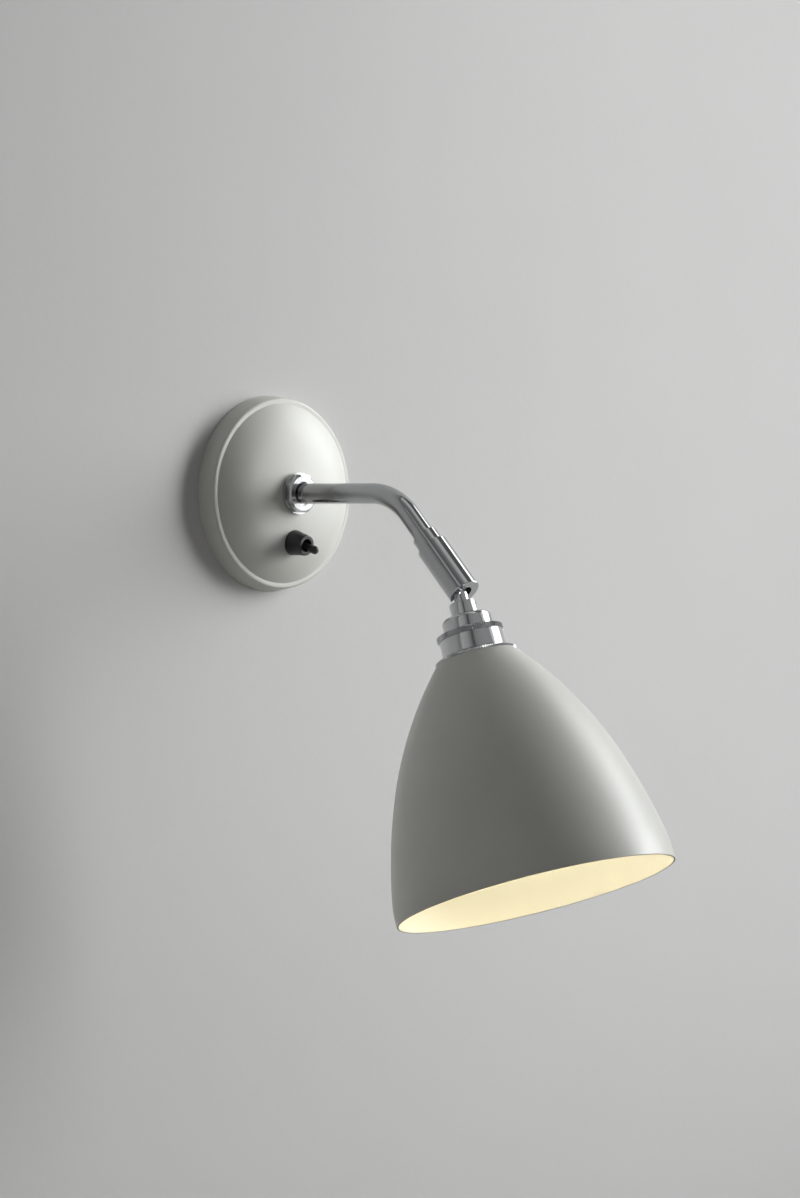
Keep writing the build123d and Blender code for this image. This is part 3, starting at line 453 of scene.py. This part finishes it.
# --------------------------------------------------------------- wall plate
def plate():
    ring_h, crown, land_r, edge_r = 11.8, CROWN_DEPTH, 12.6, 32.0
    back_r, front_r, dome_r, round_r = 57.9, 56.2, 52.9, 1.5
    sheet, foot = 1.2, 0.3  # thickness; chamfer on the edge at the wall

    def outline(inset):
        slope = asin(edge_r / CROWN_R)
        land = crown - CROWN_R + sqrt(CROWN_R**2 - land_r**2) - inset
        pts = [(STEM_HOLE_R, land), (land_r, land)]
        a0, a1 = pi / 2 - asin(land_r / CROWN_R), pi / 2 - slope
        pts += arc((0, crown - inset - CROWN_R), CROWN_R, a0, a1, 10)[1:]
        edge = Vector(pts[-1])
        ring = ring_h - inset
        across, down = dome_r - edge.x, edge.y - ring
        r = (across**2 + down**2) / (2 * (down * cos(slope) - across * sin(slope)))
        centre = edge - r * Vector((sin(slope), cos(slope)))
        a2 = atan2(ring - centre.y, dome_r - centre.x)
        pts += arc(centre, r, pi / 2 - slope, a2, 14)[1:]
        f, rr = front_r - inset, round_r - min(inset, round_r / 2)
        pts += [(dome_r + 0.5, ring), (f - rr, ring)]
        pts += arc((f - rr, ring - rr), rr, pi / 2, 0, 7)[1:]
        return pts

    outer = outline(0) + [(back_r, foot), (back_r - foot, 0.0)]
    inner = [(back_r - sheet, 0.0)] + outline(sheet)[::-1]
    obj = lathe("cover_plate_spun", WALL, outer + inner, 288, sharp=28)
    reach = 6  # of the hole's tool on each side of the plate
    corners = [(0, -reach), (SWITCH_HOLE_R, -reach), (SWITCH_HOLE_R, reach), (0, reach)]
    hole = lathe("hole", SWITCH, corners, 64)
    cut(obj, hole)
    return put(obj, "wall", plate_paint, "grey_paint", "cover_plate")


plate()

# ---------------------------------------------------------------------- arm
def arm_line():
    """Middle of the tube: level run, bend, run down at an angle."""
    level_steps, bend_steps, down_steps = 12, 32, 6
    bend = ARM_CORNER - ARM_BEND * tan(ARM_DROP / 2)
    pts = [Vector((0, -(ARM_START + (bend - ARM_START) * k / level_steps), 0))
           for k in range(level_steps + 1)]
    for k in range(1, bend_steps + 1):
        a = ARM_DROP * k / bend_steps
        pts.append(Vector((0, -bend - ARM_BEND * sin(a), -ARM_BEND * (1 - cos(a)))))
    end = pivot - BARREL.col[2].xyz * ARM_END_GAP
    last = pts[-1]
    pts += [last.lerp(end, k / down_steps) for k in range(1, down_steps + 1)]
    return pts


put(tube("arm_tube_bent", arm_line(), ARM_R, ARM_BORE_R), "arm", chrome_tube_painted_darker, "chrome",
    "arm_tube")


# -------------------------------------------------------------- head pieces
def head_lathe(name, corners, node, material, slot, segments=128, edge=None):
    """Turned piece on the shade's axis, from (r, h, fillet) corners, h from the ball."""
    obj = lathe(name, HEAD, rounded(corners), segments, edge)
    return put(obj, "head", material, slot, node)


head_lathe("neck_collar_turned", [
    (5.0, 12.8, 0), (7.6, 12.8, 0.5), (7.6, 20.8, 0.25), (5.0, 20.8, 0),
], "neck_collar", chrome_turned, "chrome")

head_lathe("holder_cap_spun", [
    (5.0, 20.8, 0), (14.1, 20.8, 2.6), (14.1, 31.4, 0), (12.8, 31.4, 0), (12.8, 22.4, 1.4),
    (5.0, 22.4, 0),
], "holder_cap", chrome, "chrome")

head_lathe("union_ring_knurled", [
    (12.8, 29.8, 0), (18.95, 29.8, 0.55), (18.95, 30.5, 0), (18.95, 31.3, 0), (18.95, 32.1, 0),
    (18.95, 32.8, 0.55), (12.8, 32.8, 0),
], "union_ring", chrome_knurl, "chrome", 504, knurl_edge(84, 0.75, 29.9, 32.7, 18.2))

head_lathe("holder_body_turned", [
    (12.8, 32.8, 0), (18.05, 32.8, 0.3), (18.05, 42.2, 0), (17.3, 42.6, 0), (17.3, 64.0, 0.3),
    (16.0, 64.0, 0.3), (16.0, 34.1, 0), (12.8, 34.1, 0),
], "holder_body", chrome_turned, "chrome", 160)

head_lathe("shade_nut_knurled", [
    (17.3, 42.6, 0), (19.8, 42.6, 0.3), (22.5, 44.0, 0), (22.95, 44.15, 0), (22.95, 44.7, 0),
    (22.95, 45.25, 0), (22.6, 45.4, 0), (17.3, 45.4, 0),
], "shade_nut", chrome_knurl, "chrome", 600, knurl_edge(100, 0.50, 44.1, 45.3, 22.7))

head_lathe("shade_inner_nut_knurled", [
    (17.3, 46.4, 0), (20.7, 46.4, 0), (21.0, 46.7, 0), (21.0, 47.9, 0), (21.0, 49.1, 0),
    (20.7, 49.4, 0), (17.3, 49.4, 0),
], "shade_inner_nut", chrome, "chrome", 480, knurl_edge(80, 0.40, 46.5, 49.3, 20.9))


def shade():
    """Spun shade from three tangent arcs, with a slightly rounded rim."""
    angles = [radians(-4.0), radians(9.6), radians(20.6)]
    radii = [60.0, 300.0, 214.0]
    rim_r, top_r, top, sheet = 78.4, 22.7, 45.4, 1.0

    def wall(inset):
        cr = rim_r - radii[0] * cos(angles[0])
        ch = -radii[0] * sin(angles[0])
        out = []
        for i, radius in enumerate(radii):
            start = angles[i]
            if i:
                cr += (radii[i - 1] - radius) * cos(start)
                ch += (radii[i - 1] - radius) * sin(start)
            end = angles[i + 1] if i < 2 else acos((top_r - cr) / radius)
            steps = (14, 16, 44)[i]
            out += arc((cr, ch), radius - inset, start, end, steps)[(1 if i else 0):]
        return out

    outer, inner = wall(0), wall(sheet)
    rim_h = top + outer[-1][1]
    outer = [(r, rim_h - h) for r, h in outer]
    inner = [(r, rim_h - h) for r, h in inner]
    mid = Vector(outer[0]).lerp(Vector(inner[0]), 0.5)
    lip = [(mid.x + 0.28, mid.y + 0.18), (mid.x - 0.28, mid.y + 0.18)]
    # the flat seat between the two nuts joins the two walls
    outline = outer + [(17.5, top), (17.5, top + sheet)] + inner[::-1] + lip[::-1]
    obj = lathe("shade_spun", HEAD, outline, 320, sharp=30)
    return put(obj, "head", shade_paint, "shade_paint", "shade")


shade()

# --------------------------------------------------------------------- bulb
def bulb():
    end, r, sheet = 114.8, 22.5, 0.8
    neck_r, low, fillet = 12.4, 66.0, 7.0
    centre = end - r

    def outline(inset):
        rr, nr = r - inset, neck_r - inset
        f = fillet + inset
        fx = nr + f
        fh = centre - sqrt((rr + f) ** 2 - fx**2)
        touch = atan2(fh - centre, fx)
        pts = arc((0, centre), rr, pi / 2, touch, 48)
        back = atan2(centre - fh, -fx)
        pts += arc((fx, fh), f, back, pi, 10)[1:]
        return pts + [(nr, low)]

    outer, inner = outline(0), outline(sheet)
    inner[0] = (0, inner[0][1])
    obj = lathe("bulb_glass_blown", HEAD, outer + inner[::-1], 96, sharp=60)
    return put(obj, "head", opal_glass, "opal_glass", "bulb_glass")


bulb()


def threaded(name, inner, outer, low, high, pitch, depth, extra_low, node, material, slot):
    """Thin rolled thread shell, with the corners in extra_low at its low end."""
    steps = int((high - low) / (pitch / 8))
    out = [(outer, low + (high - low) * k / steps) for k in range(steps + 1)]
    inn = [(inner, h) for _, h in out][::-1]
    obj = lathe(name, HEAD, extra_low + out + inn, 72, helix_edge(pitch, depth, low, high), 50)
    return put(obj, "head", material, slot, node)


threaded("bulb_cap_rolled", 12.45, 13.05, 49.4, 69.0, 3.62, 1.0,
         [(6.8, 46.9), (6.8, 46.4), (10.05, 46.9)], "bulb_cap", cap_metal, "bulb_cap_metal")

# ------------- looks of the CAD nodes, those that a piece above replaces too
LOOKS = {
    "wall_bracket": zinc, "stem_bush": zinc, "bush_back_nut": zinc, "cover_nut": chrome,
    "terminal_block": block_plastic, "terminal_barrels": brass, "terminal_screws": zinc,
    "block_screws": zinc, "earth_screw": brass, "live_lead": live_pvc, "switched_lead": live_pvc,
    "neutral_lead": neutral_pvc, "earth_lead": earth_pvc, "switch_body": black_plastic,
    "switch_terminals": brass, "switch_bezel": black_plastic, "switch_lever": lever_plastic,
    "arm_spring_ring": spring, "arm_collar": brass, "collar_screw": black_steel,
    "arm_lead": sheath_pvc, "joint_barrel": chrome_tube_painted_darker, "barrel_grub_screw": black_steel,
    "ball_cup": brass, "dish_springs": spring, "ball_stem": chrome, "nipple_nut": brass,
    "holder_insulator": porcelain, "screw_shell": brass, "centre_contact": brass,
    "holder_screws": brass, "bulb_insulator": black_glass, "bulb_contact": cap_metal,
    "head_lead": sheath_pvc,
    "cover_plate": plate_paint, "arm_tube": chrome_tube_painted_darker, "neck_collar": chrome_turned,
    "holder_cap": chrome, "union_ring": chrome, "holder_body": chrome_turned,
    "shade_nut": chrome, "shade_inner_nut": chrome, "shade": shade_paint,
    "bulb_glass": opal_glass, "bulb_cap": cap_metal,
}
BEVEL = {  # width in mm
    "cover_nut": 0.22, "joint_barrel": 0.14, "wall_bracket": 0.3, "bush_back_nut": 0.2,
    "terminal_block": 0.3, "switch_bezel": 0.15, "switch_body": 0.3, "ball_stem": 0.1,
    "stem_bush": 0.15, "arm_collar": 0.2, "earth_screw": 0.15, "holder_insulator": 0.3,
    "nipple_nut": 0.2,
}
for name, material in LOOKS.items():
    obj = nodes[name]
    dress(obj, material)
    if name in BEVEL:
        bevel = obj.modifiers.new("edge", "BEVEL")
        bevel.width = BEVEL[name] * MM
        bevel.segments = 3
        bevel.limit_method = "ANGLE"
        bevel.angle_limit = radians(35)
        bevel.harden_normals = True
    split = obj.modifiers.new("sharp", "EDGE_SPLIT")
    split.split_angle = radians(SHARP)


# -------------------------------------------------------------------- stage
def pale_rays(tree, path):
    """1 on the rays that are to see a pale background: camera, mirror and glass rays."""
    out = path.outputs["Is Camera Ray"]
    for kind in ("Is Glossy Ray", "Is Transmission Ray"):
        node = tree.nodes.new("ShaderNodeMath")
        node.operation = "MAXIMUM"
        tree.links.new(out, node.inputs[0])
        tree.links.new(path.outputs[kind], node.inputs[1])
        out = node.outputs[0]
    return out


def stage_material(name, colour, mottle, glow=0.0):
    """Pale painted surface. It is clear from behind, so that views from behind
    the wall show the object's back, and it doesn't stop light from there."""
    n = Nodes(name)
    n.set(base_color=n.ramp(n.noise(1.6, 5.0, 0.6),
                            (0.3, tint(colour, 1 - mottle)), (0.7, tint(colour, 1 + mottle))))
    n.set(roughness=0.9)
    trowel = n.math("MULTIPLY", n.noise(7.0, 4.0, 0.55), 6.0)
    n.bump(n.math("ADD", trowel, n.noise(170.0, 4.0, 0.65)), 0.20, 0.0005)
    out = n.tree.nodes["Material Output"]
    path = n.new("ShaderNodeLightPath")
    if glow:
        seen = pale_rays(n.tree, path)
        n.set(emission_color=colour, emission_strength=n.math("MULTIPLY", seen, glow))
    geometry = n.new("ShaderNodeNewGeometry")
    behind = n.math("MULTIPLY", geometry.outputs["Backfacing"], path.outputs["Is Camera Ray"])
    clear = n.math("MAXIMUM", behind, path.outputs["Is Shadow Ray"])
    through = n.new("ShaderNodeBsdfTransparent")
    mix = n.new("ShaderNodeMixShader")
    n.link(clear, mix.inputs[0])
    n.link(n.bsdf.outputs[0], mix.inputs[1])
    n.link(through.outputs[0], mix.inputs[2])
    n.link(mix.outputs[0], out.inputs["Surface"])
    return n.mat


def sheet_of(name, corners, material):
    mesh = bpy.data.meshes.new(name)
    mesh.from_pydata(corners, [], [tuple(range(len(corners)))])
    obj = bpy.data.objects.new(name, mesh)
    bpy.context.scene.collection.objects.link(obj)
    dress(obj, material)
    return obj


WALL_COLOUR = (0.587, 0.581, 0.572)
FLOOR_COLOUR = (0.66, 0.66, 0.65)
FLOOR_Z, WALL_TOP = -1.25, 2
SIDE, FRONT = 3, -4  # half the room's width, and how far it comes forward
WALL_Y = 0.0002  # just behind the plate's back edge
MOTTLE, FLOOR_GLOW = 0.02, 0.75
sheet_of("wall_sheet", [(-SIDE, WALL_Y, FLOOR_Z), (SIDE, WALL_Y, FLOOR_Z),
                        (SIDE, WALL_Y, WALL_TOP), (-SIDE, WALL_Y, WALL_TOP)],
         stage_material("wall_paint", WALL_COLOUR, MOTTLE))
sheet_of("floor_sheet", [(-SIDE, FRONT, FLOOR_Z), (SIDE, FRONT, FLOOR_Z),
                         (SIDE, 0, FLOOR_Z), (-SIDE, 0, FLOOR_Z)],
         stage_material("floor_paint", FLOOR_COLOUR, MOTTLE, FLOOR_GLOW))


def area(name, place, target, size, power, colour=(1, 1, 1)):
    light = bpy.data.lights.new(name, "AREA")
    light.shape = "RECTANGLE"
    light.size, light.size_y = size
    light.energy = power
    light.color = colour
    obj = bpy.data.objects.new(name, light)
    obj.location = place
    obj.rotation_mode = "QUATERNION"
    obj.rotation_quaternion = (Vector(target) - Vector(place)).to_track_quat("-Z", "Y")
    bpy.context.scene.collection.objects.link(obj)
    return obj


DAYLIGHT = (0.975, 0.99, 1.0)
window = area("window", (1.45, -0.76, 0.42), (0.30, -0.03, 0.09), (1.0, 1.7), 7.8, DAYLIGHT)
window.data.spread = radians(54)
upper = area("window_top", (1.45, -0.5, 0.95), (0.1, -0.2, -0.1), (0.9, 0.9), 1.9, DAYLIGHT)
upper.data.spread = radians(70)
left_fill = area("left_fill", (-1.7, -1.3, 0.3), (0, -0.1, -0.1), (1.6, 1.6), 2.9)
left_fill.visible_glossy = False
area("behind_fill", (0.3, 0.9, 0.4), (0, 0, 0), (1.2, 1.2), 1.8)


def scrim(name, corners, coordinate, stops):
    """Dark net that only mirror-like rays meet, so that chrome has dark and light
    to show. Its density follows one of its own coordinates."""
    n = Nodes(name)
    n.set(base_color=n.ramp(n.noise(4.0), (0.3, (0.03, 0.03, 0.03)), (0.7, (0.05, 0.05, 0.05))))
    n.set(roughness=0.9)
    spot = n.new("ShaderNodeSeparateXYZ")
    n.link(n.coords.outputs["Generated"], spot.inputs[0])
    density = n.ramp(spot.outputs[coordinate], *[(at, (v, v, v)) for at, v in stops])
    path = n.new("ShaderNodeLightPath")
    solid = n.math("MULTIPLY", density, path.outputs["Is Glossy Ray"])
    through = n.new("ShaderNodeBsdfTransparent")
    mix = n.new("ShaderNodeMixShader")
    n.link(solid, mix.inputs[0])
    n.link(through.outputs[0], mix.inputs[1])
    n.link(n.bsdf.outputs[0], mix.inputs[2])
    n.link(mix.outputs[0], n.tree.nodes["Material Output"].inputs["Surface"])
    return sheet_of(name, corners, n.mat)


SCRIM_LOW, SCRIM_HIGH = -1.5, 2.2


def upright(ax, ay, bx, by, low=SCRIM_LOW, high=SCRIM_HIGH):
    """Corners of an upright sheet from one point on the floor plan to another."""
    return [(ax, ay, low), (bx, by, low), (bx, by, high), (ax, ay, high)]


# The room that chrome shows: dim to the left, darkest behind the camera, dim ahead
# of the wall up to the window, and a ceiling with one pale strip.
scrim("scrim_left", upright(-2.0, -0.05, -2.0, -2.0), "Y",
      [(0.0, 0.95), (0.12, 0.85), (0.5, 0.55), (0.85, 0.42), (1.0, 0.30)])
scrim("scrim_front", upright(-2.0, -2.0, 1.2, -2.0), "X",
      [(0.0, 0.95), (0.05, 0.88), (0.14, 0.66), (0.5, 0.58), (0.8, 0.56), (1.0, 0.70)])
scrim("scrim_top", [(-2.0, -2.0, SCRIM_HIGH), (1.9, -2.0, SCRIM_HIGH),
                    (1.9, 0.0, SCRIM_HIGH), (-2.0, 0.0, SCRIM_HIGH)], "X",
      [(0.0, 0.85), (0.30, 0.65), (0.46, 0.10), (0.56, 0.05), (0.66, 0.85), (1.0, 0.80)])

world = bpy.data.worlds.new("studio")
world.use_nodes = True
bpy.context.scene.world = world
tree = world.node_tree
background = tree.nodes["Background"]
background.inputs[0].default_value = (0.86, 0.86, 0.87, 1)
background.inputs[1].default_value = 0.125
pale = tree.nodes.new("ShaderNodeBackground")
pale.inputs[0].default_value = (0.76, 0.76, 0.76, 1)
pale.inputs[1].default_value = 1.0
path = tree.nodes.new("ShaderNodeLightPath")
choose = tree.nodes.new("ShaderNodeMixShader")
tree.links.new(pale_rays(tree, path), choose.inputs[0])
tree.links.new(background.outputs[0], choose.inputs[1])
tree.links.new(pale.outputs[0], choose.inputs[2])
tree.links.new(choose.outputs[0], tree.nodes["World Output"].inputs["Surface"])

# ------------------------------------------------------------------- camera
PHOTO_HEIGHT = 1198
FOCAL_PX = 3224.0
CAMERA_AT = (-1.3282, -1.3746, -0.0380)
azimuth, elevation, roll = radians(-46.37), radians(0.69), radians(1.06)
back = Vector((sin(azimuth) * cos(elevation), -cos(azimuth) * cos(elevation), sin(elevation)))
right = Vector((cos(azimuth), sin(azimuth), 0))
up = back.cross(right)
right, up = cos(roll) * right + sin(roll) * up, -sin(roll) * right + cos(roll) * up
lens = bpy.data.cameras.new("camera")
lens.sensor_width = 36.0
lens.lens = FOCAL_PX / PHOTO_HEIGHT * lens.sensor_width
lens.clip_start, lens.clip_end = 0.05, 30.0
camera = bpy.data.objects.new("camera", lens)
pose = Matrix.Identity(4)
for i in range(3):
    pose[i][0], pose[i][1], pose[i][2] = right[i], up[i], back[i]
pose.translation = Vector(CAMERA_AT)
camera.matrix_world = pose
bpy.context.scene.collection.objects.link(camera)
bpy.context.scene.camera = camera

bpy.context.scene.view_settings.view_transform = "Standard"
